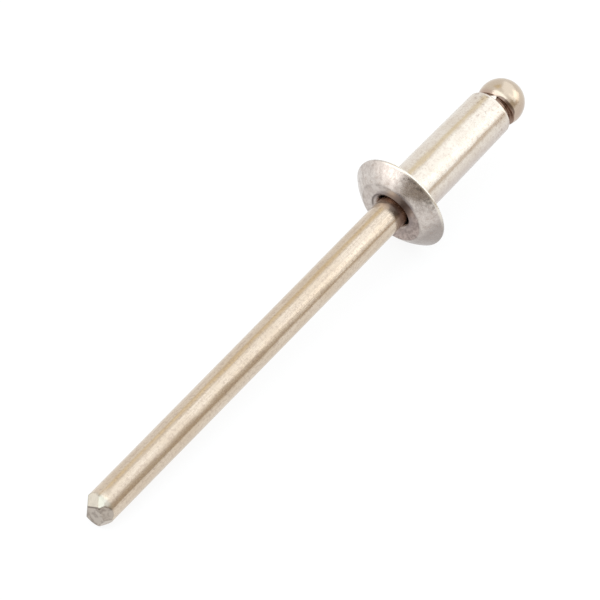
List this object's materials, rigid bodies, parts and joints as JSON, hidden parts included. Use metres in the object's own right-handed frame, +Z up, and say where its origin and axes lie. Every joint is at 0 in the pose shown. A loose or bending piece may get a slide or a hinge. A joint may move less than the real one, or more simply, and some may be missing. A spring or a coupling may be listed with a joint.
{
  "type": "blind rivet",
  "caption": "Open-end blind rivet: tubular shank and thin domed flange on a ball-headed mandrel, whose long cut stem is pulled to set it.",
  "frame": {"origin": "on the floor under the middle of the rivet as it lies on the rim of its flange and the end of its mandrel", "axes": "+X along the floor towards the ball head, +Y to the left as seen from the cut end, +Z up; the rivet's own axis lies in the XZ plane and rises towards the ball head"},
  "size_m": [0.0403, 0.0064, 0.0065],
  "materials": {
    "body_steel": "satin cold-formed stainless steel with fine speckle",
    "mandrel_steel": "drawn stainless steel wire, lines along the stem, faint golden cast"
  },
  "bodies": {
    "root": {"rivet_body": "body_steel", "mandrel": "mandrel_steel"}
  },
  "joints": []
}
